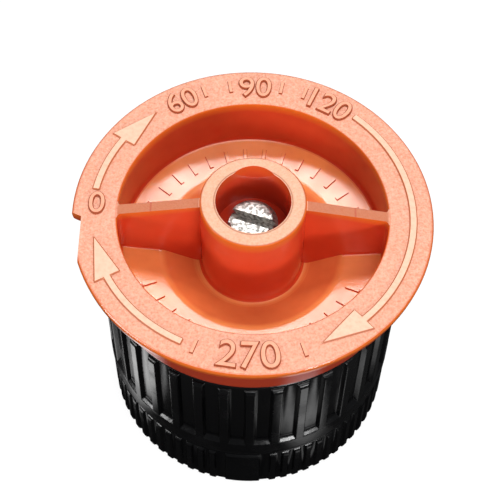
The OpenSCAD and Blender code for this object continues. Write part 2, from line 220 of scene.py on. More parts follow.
@dataclass(frozen=True)
class OrangeAcetal:
    """Injection-moulded acetal. The dish is polished, deep orange and a little translucent; the
    light through its upper edges is painted on as a glow, and the dish wall, the deep bore and the
    bowl under the rim are painted with shade. The faces that point up were spark-eroded in the
    mould: matt, pale, speckled.

    The real speckle is finer than would show, so it is drawn coarser. A share is how much of a
    colour is mixed in where it is strongest."""

    name: str = "acetal_orange_moulded"
    polished: str = "#DE4828"
    floor: str = "#FA9856"
    # Deeper red: painted shade on the dish wall, and the colour of the flow marks and witness lines
    shade: str = "#B53218"
    painted_edge_glow: str = "#E07422"
    bore_shade: str = "#A21D0E"
    under_rim_shade: str = "#AE3A20"
    textured: str = "#EEA385"
    mottle: str = "#FAC3A6"
    grain: str = "#CF7650"
    web_tint: str = "#BC6438"
    hub_face: str = "#F8C29C"
    edge_line: str = "#9A5A34"
    wall_shade_share: float = 0.5
    flow_share: float = 0.2
    painted_glow_share: float = 0.7
    painted_glow_in_bore: float = 0.35
    bore_shade_share: float = 0.6
    grain_share: float = 0.65
    mottle_share: float = 0.45
    web_share: float = 0.8
    hub_share: float = 0.35
    line_share: float = 0.7
    witness_share: float = 0.55
    spark_grain_mm: float = 0.13
    mottle_mm: float = 0.24
    flow_mm: float = 1.6
    painted_glow_mm: float = 0.8
    hub_line_in_mm: float = 0.08
    bore_line_r_mm: float = 2.64
    witness_x_mm: float = 6.9
    ring_r_mm: float = 6.4
    ring_slope: float = 0.14
    polished_rough: float = 0.15
    matt_rough: float = 0.5
    polished_bump: float = 0.1
    matt_bump: float = 0.55
    bump_mm: float = 0.06

    def build(self, cap: "DeflectorCap", rim_z: float) -> bpy.types.Material:
        """Builds the material.

        Args:
            cap: Cap that the material is for, with its sizes.
            rim_z: Height of the rim's top face, in metres.

        Returns:
            The material.
        """
        material, tree = new_material(self.name)
        add = partial(add_node, tree)
        faces = CapFaces(add, cap, rim_z)
        grain, mottle, flow = [
            add("ShaderNodeTexNoise", {"Vector": faces.where, "Detail": detail,
                                       "Scale": 1 / (size * MM)}).outputs[0]
            for size, detail in ((self.spark_grain_mm, 3.0), (self.mottle_mm, 3.0),
                                 (self.flow_mm, 2.0))]
        colour = add("ShaderNodeMix", {0: faces.matt, 6: self._polished_colour(add, faces, flow),
                                       7: self._eroded_colour(add, faces, grain, mottle)},
                     data_type="RGBA").outputs[2]
        colour = self._witness_lines(add, faces, colour)
        rough = add("ShaderNodeMapRange", {"Value": faces.matt, "To Min": self.polished_rough,
                                           "To Max": self.matt_rough}).outputs[0]
        uneven = add("ShaderNodeMapRange", {"Value": flow, "From Min": 0.3, "From Max": 0.7,
                                            "To Min": -0.03, "To Max": 0.06}).outputs[0]
        rough = add("ShaderNodeMath", {0: rough, 1: uneven}, operation="ADD").outputs[0]
        strength = add("ShaderNodeMapRange", {"Value": faces.matt, "To Min": self.polished_bump,
                                              "To Max": self.matt_bump}).outputs[0]
        bump = add("ShaderNodeBump", {"Strength": strength, "Distance": self.bump_mm * MM,
                                      "Height": grain, "Normal": self._flat_ring(add, faces)})
        shader = add("ShaderNodeBsdfPrincipled",
                     {"Base Color": colour, "Roughness": rough, "IOR": 1.48,
                      "Specular IOR Level": 0.6, "Subsurface Weight": 0.12,
                      "Subsurface Scale": 0.5 * MM, "Subsurface Radius": (1.0, 0.35, 0.15),
                      "Normal": bump.outputs[0]})
        add("ShaderNodeOutputMaterial", {0: shader.outputs[0]})
        return material

    def _eroded_colour(self, add: AddNode, faces: CapFaces, grain: Socket,
                       mottle: Socket) -> Socket:
        """Adds the colour of the spark-eroded faces.

        Args:
            add: Adds a node to the material's tree.
            faces: The cap's faces.
            grain: Noise as coarse as the spark's grain.
            mottle: Noise as coarse as the soft mottling.

        Returns:
            The colour.
        """
        dark_grain = add("ShaderNodeMapRange", {"Value": grain, "From Min": 0.42, "From Max": 0.68,
                                                "To Max": self.grain_share}).outputs[0]
        pale_spots = add("ShaderNodeMapRange", {"Value": mottle, "From Min": 0.45, "From Max": 0.7,
                                                "To Max": self.mottle_share}).outputs[0]
        tinted = add("ShaderNodeMath", {0: faces.on_web, 1: self.web_share},
                     operation="MULTIPLY").outputs[0]
        on_hub = add("ShaderNodeMapRange", {"Value": faces.past_hub, "To Min": self.hub_share,
                                            "To Max": 0.0}).outputs[0]
        layers = [(dark_grain, self.grain), (pale_spots, self.mottle), (tinted, self.web_tint),
                  (on_hub, self.hub_face)]

        # A thin tan line runs along the outer edge of the hub's face and along the bore's edge
        for line_r in (faces.hub_r - self.hub_line_in_mm * MM, self.bore_line_r_mm * MM):
            line = thin_line(add, faces.radius, line_r, 0.02 * MM, self.line_share)
            layers.append((line, self.edge_line))
        return layered(add, linear(self.textured), layers)

    def _polished_colour(self, add: AddNode, faces: CapFaces, flow: Socket) -> Socket:
        """Adds the colour of the polished faces: a lighter floor, painted shade on the dish wall,
        flow marks, a painted glow along the upper edges, and painted shade deep in the bore and on
        the bowl under the rim.

        Args:
            add: Adds a node to the material's tree.
            faces: The cap's faces.
            flow: Noise as coarse as the flow marks.

        Returns:
            The colour.
        """
        # Painted shade on the dish wall, with the moulding's own flow marks mixed in
        wall_shade_near = add("ShaderNodeMapRange", {"Value": faces.radius,
                                             "From Min": faces.dish_r - 0.3 * MM,
                                             "From Max": faces.dish_r - 0.1 * MM,
                                             "To Max": self.wall_shade_share}).outputs[0]
        wall = add("ShaderNodeMath", {0: wall_shade_near, 1: faces.upright},
                   operation="MULTIPLY").outputs[0]
        marks = add("ShaderNodeMapRange", {"Value": flow, "From Min": 0.35, "From Max": 0.75,
                                           "To Max": self.flow_share}).outputs[0]
        wall_shade_and_flow = add("ShaderNodeMath", {0: wall, 1: marks}, operation="ADD",
                     use_clamp=True).outputs[0]

        # Painted glow, standing in for light through the thin upper edges, which rise from the rim
        # to the hub
        edge_z = add("ShaderNodeMapRange", {"Value": faces.radius, "From Min": faces.hub_r,
                                            "From Max": faces.dish_r,
                                            "To Min": faces.hub_z - 0.1 * MM,
                                            "To Max": faces.rim_z}).outputs[0]
        below = add("ShaderNodeMath", {0: edge_z, 1: faces.z}, operation="SUBTRACT").outputs[0]
        near = add("ShaderNodeMapRange", {"Value": below, "From Min": 0.2 * MM,
                                          "From Max": self.painted_glow_mm * MM,
                                          "To Min": self.painted_glow_share, "To Max": 0.0}).outputs[0]
        glow = add("ShaderNodeMath", {0: near, 1: faces.upright},
                   operation="MULTIPLY").outputs[0]
        part = add("ShaderNodeMapRange", {"Value": faces.in_bore, "To Min": 1.0,
                                          "To Max": self.painted_glow_in_bore}).outputs[0]
        glow = add("ShaderNodeMath", {0: glow, 1: part}, operation="MULTIPLY").outputs[0]
        # Painted shade: the bore darkens with depth below the hub's face
        sunk = add("ShaderNodeMapRange", {"Value": faces.z, "From Min": faces.hub_z - 0.6 * MM,
                                          "From Max": faces.hub_z - 3.2 * MM,
                                          "To Max": self.bore_shade_share}).outputs[0]
        sunk = add("ShaderNodeMath", {0: sunk, 1: faces.in_bore},
                   operation="MULTIPLY").outputs[0]
        return layered(add, linear(self.polished), [
            (faces.on_floor, self.floor), (wall_shade_and_flow, self.shade), (glow, self.painted_edge_glow),
            (sunk, self.bore_shade), (faces.under_rim_shade, self.under_rim_shade)])

    def _witness_lines(self, add: AddNode, faces: CapFaces, colour: Socket) -> Socket:
        """Adds the witness line that the mould's insert left across each web.

        Args:
            add: Adds a node to the material's tree.
            faces: The cap's faces.
            colour: Colour without the lines.

        Returns:
            The colour with the lines.
        """
        side = add("ShaderNodeMath", {0: faces.x}, operation="ABSOLUTE").outputs[0]
        line = thin_line(add, side, self.witness_x_mm * MM, 0.03 * MM, self.witness_share)
        line = add("ShaderNodeMath", {0: line, 1: faces.matt}, operation="MULTIPLY").outputs[0]
        line = add("ShaderNodeMath", {0: line, 1: faces.on_web}, operation="MULTIPLY").outputs[0]
        return layered(add, colour, [(line, self.shade)])

    def _flat_ring(self, add: AddNode, faces: CapFaces) -> Socket:
        """Adds a normal that makes the sloping front of the floor's outer ring mirror as if it
        were level.

        Args:
            add: Adds a node to the material's tree.
            faces: The cap's faces.

        Returns:
            The normal.
        """
        past_cone = add("ShaderNodeMapRange", {"Value": faces.radius,
                                               "From Min": (self.ring_r_mm - 0.2) * MM,
                                               "From Max": (self.ring_r_mm + 0.2) * MM}).outputs[0]
        front = add("ShaderNodeMapRange", {"Value": faces.y, "From Min": 0.2 * MM,
                                           "From Max": -0.2 * MM}).outputs[0]
        ring = add("ShaderNodeMath", {0: faces.on_floor, 1: past_cone},
                   operation="MULTIPLY").outputs[0]
        ring = add("ShaderNodeMath", {0: ring, 1: front}, operation="MULTIPLY").outputs[0]
        fall = add("ShaderNodeMath", {0: faces.radius, 1: -self.ring_slope},
                   operation="MULTIPLY").outputs[0]
        return add("ShaderNodeBump", {"Strength": ring, "Distance": 1.0,
                                      "Height": fall}).outputs[0]


@dataclass(frozen=True)
class RaisedMark:
    """Raised mark of the same orange acetal. Its mould was engraved by a smooth cutter, so its face
    is plainer than the rim around it. Its steep flanks are painted darker, as painted shade, so
    they read as thin dark lines. The faint spots are drawn coarse enough to show."""

    name: str = "acetal_orange_polished_mark"
    face: str = "#F6C1A4"
    spot: str = "#EBAA8C"
    flank_shade: str = "#BA6A46"
    roughness: float = 0.42
    grain_mm: float = 0.3

    def build(self) -> bpy.types.Material:
        """Builds the material.

        Returns:
            The material.
        """
        material, tree = new_material(self.name)
        add = partial(add_node, tree)
        place = add("ShaderNodeTexCoord")
        up = add("ShaderNodeSeparateXYZ", {0: place.outputs["Normal"]}).outputs[2]
        upward = add("ShaderNodeMapRange", {"Value": up, "From Min": 0.8, "From Max": 0.96},
                     interpolation_type="SMOOTHSTEP").outputs[0]
        grain = add("ShaderNodeTexNoise", {"Vector": place.outputs["Object"], "Detail": 3.0,
                                           "Scale": 1 / (self.grain_mm * MM)}).outputs[0]
        spots = add("ShaderNodeMapRange", {"Value": grain, "From Min": 0.4, "From Max": 0.7,
                                           "To Max": 0.6}).outputs[0]
        face = layered(add, linear(self.face), [(spots, self.spot)])
        # Painted shade: faces that do not point up take the darker colour of the flanks
        colour = add("ShaderNodeMix", {0: upward, 6: linear(self.flank_shade), 7: face},
                     data_type="RGBA").outputs[2]
        bump = add("ShaderNodeBump", {"Strength": 0.15, "Distance": 0.03 * MM, "Height": grain})
        shader = add("ShaderNodeBsdfPrincipled",
                     {"Base Color": colour, "Roughness": self.roughness, "IOR": 1.48,
                      "Specular IOR Level": 0.3, "Normal": bump.outputs[0]})
        add("ShaderNodeOutputMaterial", {0: shader.outputs[0]})
        return material


@dataclass(frozen=True)
class BlackAcetal:
    """Black moulded acetal with a wet-looking gloss on its softly rounded edges, faint flow marks
    and slightly scuffed rib crests. Its fine grain is drawn coarse enough to show."""

    name: str = "acetal_black_satin"
    colour: str = "#010102"
    scuff: str = "#0F0F11"
    crest_r_mm: float = 10.7
    flow_mm: float = 2.2
    fine_mm: float = 0.2
    edge_mm: float = 0.1
    gloss_rough: float = 0.14
    satin_rough: float = 0.28
    worn_rough: float = 0.3

    def build(self) -> bpy.types.Material:
        """Builds the material.

        Returns:
            The material.
        """
        material, tree = new_material(self.name)
        add = partial(add_node, tree)
        where = add("ShaderNodeTexCoord").outputs["Object"]
        x, y, _ = add("ShaderNodeSeparateXYZ", {0: where}).outputs
        flat = add("ShaderNodeCombineXYZ", {0: x, 1: y}).outputs[0]
        radius = add("ShaderNodeVectorMath", {0: flat}, operation="LENGTH").outputs["Value"]
        crest = add("ShaderNodeMapRange", {"Value": radius,
                                           "From Min": (self.crest_r_mm - 0.1) * MM,
                                           "From Max": self.crest_r_mm * MM}).outputs[0]
        flow = add("ShaderNodeTexNoise", {"Vector": where, "Detail": 4.0,
                                          "Scale": 1 / (self.flow_mm * MM)}).outputs[0]
        fine = add("ShaderNodeTexNoise", {"Vector": where, "Detail": 3.0,
                                          "Scale": 1 / (self.fine_mm * MM)}).outputs[0]
        patchy = add("ShaderNodeMapRange", {"Value": flow, "From Min": 0.5, "From Max": 0.7,
                                            "To Max": 0.4}).outputs[0]
        worn = add("ShaderNodeMath", {0: crest, 1: patchy}, operation="MULTIPLY").outputs[0]
        specks = add("ShaderNodeMapRange", {"Value": fine, "From Min": 0.58, "From Max": 0.72,
                                            "To Max": 0.35}).outputs[0]
        marked = add("ShaderNodeMath", {0: worn, 1: specks}, operation="MAXIMUM").outputs[0]
        colour = layered(add, linear(self.colour), [(marked, self.scuff)])
        rough = add("ShaderNodeMapRange", {"Value": flow, "From Min": 0.3, "From Max": 0.75,
                                           "To Min": self.gloss_rough,
                                           "To Max": self.satin_rough}).outputs[0]
        rough = add("ShaderNodeMath", {0: worn, 1: self.worn_rough, 2: rough},
                    operation="MULTIPLY_ADD").outputs[0]
        soft = add("ShaderNodeBevel", {"Radius": self.edge_mm * MM}, samples=6)
        bump = add("ShaderNodeBump", {"Strength": 0.16, "Distance": 0.04 * MM, "Height": fine,
                                      "Normal": soft.outputs[0]})
        shader = add("ShaderNodeBsdfPrincipled",
                     {"Base Color": colour, "Roughness": rough, "IOR": 1.48,
                      "Specular IOR Level": 0.5, "Normal": bump.outputs[0]})
        add("ShaderNodeOutputMaterial", {0: shader.outputs[0]})
        return material


@dataclass(frozen=True)
class BrightStainless:
    """Stainless steel screw, sheared and tumbled: dull grey patches between bright dents. Dents
    and scratches are drawn coarse enough to show."""

    name: str = "stainless_steel_tumbled"
    colour: str = "#D2D1CC"
    dull: str = "#8E8D88"
    dent_mm: float = 0.22
    scratch_mm: float = 0.08
    bright_rough: float = 0.34
    dull_rough: float = 0.6

    def build(self) -> bpy.types.Material:
        """Builds the material.

        Returns:
            The material.
        """
        material, tree = new_material(self.name)
        add = partial(add_node, tree)
        where = add("ShaderNodeTexCoord").outputs["Object"]
        dents = add("ShaderNodeTexNoise", {"Vector": where, "Detail": 3.0,
                                           "Scale": 1 / (self.dent_mm * MM)}).outputs[0]
        fine = add("ShaderNodeTexNoise", {"Vector": where, "Detail": 2.0,
                                          "Scale": 1 / (self.scratch_mm * MM)}).outputs[0]
        patches = add("ShaderNodeMapRange", {"Value": dents, "From Min": 0.42,
                                             "From Max": 0.6}).outputs[0]
        colour = layered(add, linear(self.colour), [(patches, self.dull)])
        rough = add("ShaderNodeMapRange", {"Value": dents, "From Min": 0.3, "From Max": 0.7,
                                           "To Min": self.bright_rough,
                                           "To Max": self.dull_rough}).outputs[0]
        height = add("ShaderNodeMath", {0: fine, 1: 0.4, 2: dents},
                     operation="MULTIPLY_ADD").outputs[0]
        bump = add("ShaderNodeBump", {"Strength": 0.5, "Distance": 0.06 * MM, "Height": height})
        shader = add("ShaderNodeBsdfPrincipled",
                     {"Base Color": colour, "Metallic": 1.0, "Roughness": rough,
                      "Normal": bump.outputs[0]})
        add("ShaderNodeOutputMaterial", {0: shader.outputs[0]})
        return material


@dataclass(frozen=True)
class PaleFloor:
    """Paper sweep. Camera rays see it white. Other rays see a dim grey, so that little light comes
    up from below, and mirrored rays also see two bright windows in it.

    A window is its x, y and radius in mm, and the strength of its glow."""

    name: str = "paper_white_sweep"
    colour: str = "#6A6A6A"
    dim: str = "#181818"
    glow: float = 0.9
    mirrored: float = 0.12
    near_mm: float = 14.0
    windows_mm: tuple[tuple[float, float, float, float], ...] = (
        (8.5, -14.5, 3.8, 0.9), (-15.5, -7.5, 4.5, 1.8))

    def build(self) -> bpy.types.Material:
        """Builds the material.

        Returns:
            The material.
        """
        material, tree = new_material(self.name)
        add = partial(add_node, tree)
        path = add("ShaderNodeLightPath").outputs
        by_mirror = add("ShaderNodeMath", {0: path["Is Glossy Ray"],
                                           1: path["Is Transmission Ray"]},
                        operation="MAXIMUM").outputs[0]
        where = add("ShaderNodeTexCoord").outputs["Object"]
        reach = add("ShaderNodeVectorMath", {0: where}, operation="LENGTH").outputs["Value"]
        shown = add("ShaderNodeMapRange", {"Value": reach, "From Min": self.near_mm * MM,
                                           "From Max": 4 * self.near_mm * MM, "To Min": 0.0,
                                           "To Max": self.mirrored}).outputs[0]
        for x, y, radius, glow in self.windows_mm:
            away = add("ShaderNodeVectorMath", {0: where, 1: (x * MM, y * MM, 0.0)},
                       operation="DISTANCE").outputs["Value"]
            window = add("ShaderNodeMapRange",
                         {"Value": away, "From Min": 0.6 * radius * MM,
                          "From Max": 1.2 * radius * MM, "To Min": glow,
                          "To Max": 0.0}, interpolation_type="SMOOTHSTEP").outputs[0]
            shown = add("ShaderNodeMath", {0: shown, 1: window}, operation="MAXIMUM").outputs[0]
        seen = add("ShaderNodeMath", {0: path["Is Camera Ray"], 1: self.glow},
                   operation="MULTIPLY").outputs[0]
        reflected = add("ShaderNodeMath", {0: by_mirror, 1: shown},
                        operation="MULTIPLY").outputs[0]
        glow = add("ShaderNodeMath", {0: seen, 1: reflected}, operation="MAXIMUM").outputs[0]
        colour = layered(add, linear(self.dim), [(path["Is Camera Ray"], self.colour)])
        shader = add("ShaderNodeBsdfPrincipled",
                     {"Base Color": colour, "Roughness": 0.9,
                      "Emission Color": (1, 1, 1, 1), "Emission Strength": glow})
        add("ShaderNodeOutputMaterial", {0: shader.outputs[0]})
        return material


class TextSide(Enum):
    """Which way the foot of a number on the rim points. An upright number does not follow the
    rim: its foot points to -Y."""

    INWARD = 1
    OUTWARD = -1
    UPRIGHT = 0


def polar(radius: float, degrees: float, z: float = 0.0) -> Vector:
    """Gives the point at a radius and an angle from +X.

    Args:
        radius: Distance from the axis.
        degrees: Angle, anticlockwise from above.
        z: Height.

    Returns:
        The point.
    """
    a = math.radians(degrees)
    return Vector((radius * math.cos(a), radius * math.sin(a), z))


def plain_mesh(source: bpy.types.Object, name: str) -> bpy.types.Object:
    """Turns what an object shows, its modifiers included, into a plain mesh of its own.

    Args:
        source: Object with modifiers or a curve. It is removed.
        name: Name of the new piece.

    Returns:
        The new object, at the origin.
    """
    bpy.context.view_layer.update()
    seen = source.evaluated_get(bpy.context.evaluated_depsgraph_get())
    mesh = bpy.data.meshes.new_from_object(seen)
    mesh.transform(source.matrix_world)
    mesh.name = name
    piece = bpy.data.objects.new(name, mesh)
    bpy.context.scene.collection.objects.link(piece)
    bpy.data.objects.remove(source)
    return piece


def mesh_object(name: str, verts: list, faces: list) -> bpy.types.Object:
    """Makes an object from points and faces.

    Args:
        name: Name of the object.
        verts: Points.
        faces: Point numbers of each face.

    Returns:
        The object, linked to the scene.
    """
    mesh = bpy.data.meshes.new(name)
    mesh.from_pydata([tuple(v) for v in verts], [], faces)
    mesh.update()
    piece = bpy.data.objects.new(name, mesh)
    bpy.context.scene.collection.objects.link(piece)
    return piece


def dress(piece: bpy.types.Object, material: bpy.types.Material) -> None:
    """Gives a piece one material in every slot.

    Args:
        piece: Object to dress.
        material: Material for it.
    """
    if not piece.data.materials:
        piece.data.materials.append(material)
    for i in range(len(piece.data.materials)):
        piece.data.materials[i] = material
    log.info("%s: %s, %d faces", piece.name, material.name, len(piece.data.polygons))


def outward(piece: bpy.types.Object, smooth_deg: float = 35.0) -> None:
    """Turns a closed piece's faces outwards and shades it smooth up to an edge angle.

    Args:
        piece: Object to mend.
        smooth_deg: Largest angle at an edge that is still shaded smooth.
    """
    bm = bmesh.new()
    bm.from_mesh(piece.data)
    bmesh.ops.remove_doubles(bm, verts=bm.verts, dist=0.0004 * MM)
    bmesh.ops.recalc_face_normals(bm, faces=bm.faces)
    for face in bm.faces:
        face.smooth = True
    for edge in bm.edges:
        edge.smooth = len(edge.link_faces) == 2 and edge.calc_face_angle(0) < math.radians(
            smooth_deg)
    bm.to_mesh(piece.data)
    bm.free()


class SizedTree:
    """Geometry Nodes tree with a named input for each of its sizes and for its finish."""

    NAME: str
    SIZES: dict[str, float]

    def __init__(self) -> None:
        """Builds the tree. A size whose starting value is a whole number gets an integer input."""
        self.tree = bpy.data.node_groups.new(self.NAME, "GeometryNodeTree")
        face = self.tree.interface
        face.new_socket("Geometry", in_out="INPUT", socket_type="NodeSocketGeometry")
        self.keys: dict[str, str] = {}
        for name, value in self.SIZES.items():
            kind = "NodeSocketInt" if isinstance(value, int) else "NodeSocketFloat"
            socket = face.new_socket(name, in_out="INPUT", socket_type=kind)
            socket.default_value = value
            self.keys[name] = socket.identifier
        finish = face.new_socket("Finish", in_out="INPUT", socket_type="NodeSocketMaterial")
        self.keys["Finish"] = finish.identifier
        face.new_socket("Geometry", in_out="OUTPUT", socket_type="NodeSocketGeometry")
        self._fill()

    def _fill(self) -> None:
        """Adds the nodes. Each kind of tree has its own."""
        raise NotImplementedError

    def apply(self, blank: bpy.types.Object, name: str, finish: bpy.types.Material,
              **sizes: float) -> bpy.types.Object:
        """Puts the tree on a blank.

        Args:
            blank: Mesh that the tree changes or replaces. It is removed.
            name: Name of the new piece.
            finish: Material of the new piece.
            sizes: Value for each of the tree's sizes, with _ for a space.

        Returns:
            The result, a plain mesh.
        """
        change = blank.modifiers.new(self.NAME, "NODES")
        change.node_group = self.tree
        for key, value in sizes.items():
            change[self.keys[key.replace("_", " ").capitalize()]] = value
        change[self.keys["Finish"]] = finish
        return plain_mesh(blank, name)


class ThreadTree(SizedTree):
    """Tree that raises a helical thread on a round wall of the blank that it is put on."""

    NAME = "thread_on_wall"
    SIZES = {"Pitch": 1.0, "Depth": 1.0, "Inner radius": 0.0, "Outer radius": 1.0,
             "Bottom": 0.0, "Top": 1.0}
    ROOT_END, CREST_START = 0.12, 0.9  # shares of half a pitch, from the middle of the root

    def _fill(self) -> None:
        """Adds the nodes: a triangle wave of height over angle, faded at both ends."""
        add = partial(add_node, self.tree)
        given = add("NodeGroupInput").outputs
        where = add("GeometryNodeInputPosition").outputs[0]
        x, y, z = add("ShaderNodeSeparateXYZ", {0: where}).outputs

        # Ridge: 0 between the crests, 1 on them
        angle = add("ShaderNodeMath", {0: y, 1: x}, operation="ARCTAN2").outputs[0]
        part = add("ShaderNodeMath", {0: angle, 1: 2 * math.pi}, operation="DIVIDE").outputs[0]
        rows = add("ShaderNodeMath", {0: z, 1: given["Pitch"]}, operation="DIVIDE").outputs[0]
        turn = add("ShaderNodeMath", {0: rows, 1: part}, operation="SUBTRACT").outputs[0]
        phase = add("ShaderNodeMath", {0: turn}, operation="FRACT").outputs[0]
        swing = add("ShaderNodeMath", {0: phase, 1: 2.0, 2: -1.0},
                    operation="MULTIPLY_ADD").outputs[0]
        wave = add("ShaderNodeMath", {0: swing}, operation="ABSOLUTE").outputs[0]
        ridge = add("ShaderNodeMapRange", {"Value": wave, "From Min": self.ROOT_END,
                                           "From Max": self.CREST_START}).outputs[0]

        # Fade over one pitch at each end
        above = add("ShaderNodeMath", {0: z, 1: given["Bottom"]}, operation="SUBTRACT").outputs[0]
        rise = add("ShaderNodeMath", {0: above, 1: given["Pitch"]}, operation="DIVIDE",
                   use_clamp=True).outputs[0]
        under = add("ShaderNodeMath", {0: given["Top"], 1: z}, operation="SUBTRACT").outputs[0]
        fall = add("ShaderNodeMath", {0: under, 1: given["Pitch"]}, operation="DIVIDE",
                   use_clamp=True).outputs[0]
        fade = add("ShaderNodeMath", {0: rise, 1: fall}, operation="MULTIPLY").outputs[0]
        faded = add("ShaderNodeMath", {0: ridge, 1: fade}, operation="MULTIPLY").outputs[0]
        height = add("ShaderNodeMath", {0: faded, 1: given["Depth"]},
                     operation="MULTIPLY").outputs[0]

        # Move the wall's points along their radius
        flat = add("ShaderNodeCombineXYZ", {0: x, 1: y}).outputs[0]
        radius = add("ShaderNodeVectorMath", {0: flat}, operation="LENGTH").outputs["Value"]
        outwards = add("ShaderNodeVectorMath", {0: flat}, operation="NORMALIZE").outputs[0]
        offset = add("ShaderNodeVectorMath", {0: outwards, "Scale": height},
                     operation="SCALE").outputs[0]
        past = add("ShaderNodeMath", {0: radius, 1: given["Inner radius"]},
                   operation="GREATER_THAN").outputs[0]
        within = add("ShaderNodeMath", {0: radius, 1: given["Outer radius"]},
                     operation="LESS_THAN").outputs[0]
        wall = add("ShaderNodeMath", {0: past, 1: within}, operation="MULTIPLY").outputs[0]
        moved = add("GeometryNodeSetPosition",
                    {"Geometry": given["Geometry"], "Selection": wall, "Offset": offset})
        real = add("GeometryNodeRealizeInstances", {0: moved.outputs[0]})
        worn = add("GeometryNodeSetMaterial", {0: real.outputs[0], "Material": given["Finish"]})
        add("NodeGroupOutput", {0: worn.outputs[0]})


class TickTree(SizedTree):
    """Tree for a ring of raised ticks with sloping flanks. It takes nothing from its blank."""

    NAME = "ring_of_ticks"
    SIZES = {"Count": 1, "Radius": 1.0, "First angle": 0.0, "Step angle": 0.1, "Length": 1.0,
             "Width": 1.0, "Height": 1.0, "Level": 0.0, "Tilt": 0.0}
    TOP_DRAWN_IN = (-0.12, -0.3, 0.0)  # share of its distance from the middle, for a top corner

    def _fill(self) -> None:
        """Adds the nodes: one tick, instanced on points set out around the ring."""
        add = partial(add_node, self.tree)
        given = add("NodeGroupInput").outputs

        # One tick: a block whose top is drawn in
        size = add("ShaderNodeCombineXYZ",
                   {0: given["Length"], 1: given["Width"], 2: given["Height"]}).outputs[0]
        block = add("GeometryNodeMeshCube", {"Size": size}).outputs[0]
        spot = add("GeometryNodeInputPosition").outputs[0]
        spot_z = add("ShaderNodeSeparateXYZ", {0: spot}).outputs[2]
        upper = add("ShaderNodeMath", {0: spot_z, 1: 0.0}, operation="GREATER_THAN").outputs[0]
        inset = add("ShaderNodeVectorMath", {0: spot, 1: self.TOP_DRAWN_IN},
                    operation="MULTIPLY").outputs[0]
        shaped = add("GeometryNodeSetPosition",
                     {"Geometry": block, "Selection": upper, "Offset": inset}).outputs[0]

        # Points around the ring
        points = add("GeometryNodePoints", {"Count": given["Count"]}).outputs[0]
        number = add("GeometryNodeInputIndex").outputs[0]
        angle = add("ShaderNodeMath", {0: number, 1: given["Step angle"],
                                       2: given["First angle"]},
                    operation="MULTIPLY_ADD").outputs[0]
        across = add("ShaderNodeMath", {0: angle}, operation="COSINE").outputs[0]
        along = add("ShaderNodeMath", {0: angle}, operation="SINE").outputs[0]
        unit = add("ShaderNodeCombineXYZ", {0: across, 1: along}).outputs[0]
        reach = add("ShaderNodeVectorMath", {0: unit, "Scale": given["Radius"]},
                    operation="SCALE").outputs[0]
        lift = add("ShaderNodeCombineXYZ", {2: given["Level"]}).outputs[0]
        place = add("ShaderNodeVectorMath", {0: reach, 1: lift}, operation="ADD").outputs[0]
        set_out = add("GeometryNodeSetPosition",
                      {"Geometry": points, "Position": place}).outputs[0]
        turned = add("ShaderNodeCombineXYZ", {1: given["Tilt"], 2: angle}).outputs[0]
        copies = add("GeometryNodeInstanceOnPoints",
                     {"Points": set_out, "Instance": shaped, "Rotation": turned}).outputs[0]
        real = add("GeometryNodeRealizeInstances", {0: copies}).outputs[0]
        worn = add("GeometryNodeSetMaterial", {0: real, "Material": given["Finish"]}).outputs[0]
        add("NodeGroupOutput", {0: worn})


def lathe(name: str, outline: list[tuple[float, float]], segments: int,
          closed: bool) -> bpy.types.Object:
    """Turns an outline around Z.

    Args:
        name: Name of the object.
        outline: Radius and height of each point.
        segments: Number of points around.
        closed: True where the outline's last point joins its first, as on a ring. Otherwise
            the first and last points are on the axis.

    Returns:
        The object.
    """
    verts: list[Vector] = []
    faces: list[list[int]] = []
    rows: list[list[int]] = []
    for radius, z in outline:
        if radius < 1e-9:
            rows.append([len(verts)] * segments)
            verts.append(Vector((0, 0, z)))
            continue
        rows.append(list(range(len(verts), len(verts) + segments)))
        verts += [polar(radius, 360 * k / segments, z) for k in range(segments)]
    pairs = list(zip(rows, rows[1:])) + ([(rows[-1], rows[0])] if closed else [])
    for low, high in pairs:
        for k in range(segments):
            n = (k + 1) % segments
            corner = [low[k], low[n], high[n], high[k]]
            face = [v for i, v in enumerate(corner) if v not in corner[:i]]
            if len(face) > 2:
                faces.append(face)
    return mesh_object(name, verts, faces)


def prism(name: str, outline: list[Vector], low_z: float, high_z: float,
          bevel: float) -> bpy.types.Object:
    """Extrudes an outline and chamfers its sharp edges.

    Args:
        name: Name of the new piece.
        outline: Corners, anticlockwise from above.
        low_z: Height of the lower face.
        high_z: Height of the upper face.
        bevel: Width of the chamfer.

    Returns:
        The piece, a plain mesh.
    """
    count = len(outline)
    verts = [(p.x, p.y, z) for z in (low_z, high_z) for p in outline]
    faces = [list(range(count))[::-1], list(range(count, 2 * count))]
    faces += [[k, (k + 1) % count, count + (k + 1) % count, count + k] for k in range(count)]
    blank = mesh_object("prism_blank", verts, faces)
    chamfer = blank.modifiers.new("chamfer", "BEVEL")
    chamfer.width = bevel
    chamfer.segments = 1
    chamfer.limit_method = "ANGLE"
    chamfer.angle_limit = math.radians(60)
    return plain_mesh(blank, name)


@dataclass
class RimArrow:
    """Raised arrow that follows the rim clockwise. Angles in degrees, lengths in mm."""

    name: str
    tail_deg: float
    neck_deg: float
    tip_deg: float
    middle_r: float = 10.85
    shaft_w: float = 0.55
    head_w: float = 1.96
    rise: float = 0.12
    bevel: float = 0.08

    def build(self, rim_z: float) -> bpy.types.Object:
        """Builds the arrow.

        Args:
            rim_z: Height of the rim's top face, in metres.

        Returns:
            The arrow, a plain mesh.
        """
        steps = 36
        sweep = self.neck_deg - self.tail_deg
        angles = [self.tail_deg + sweep * k / steps for k in range(steps + 1)]
        inner = [polar((self.middle_r - self.shaft_w / 2) * MM, a) for a in angles]
        outer = [polar((self.middle_r + self.shaft_w / 2) * MM, a) for a in angles]
        head_in = polar((self.middle_r - self.head_w / 2) * MM, self.neck_deg)
        head_out = polar((self.middle_r + self.head_w / 2) * MM, self.neck_deg)
        tip = polar(self.middle_r * MM, self.tip_deg)
        outline = inner + [head_in, tip, head_out] + outer[::-1]
        return prism(self.name, outline, rim_z - SUNK_MM * MM, rim_z + self.rise * MM,
                     self.bevel * MM)


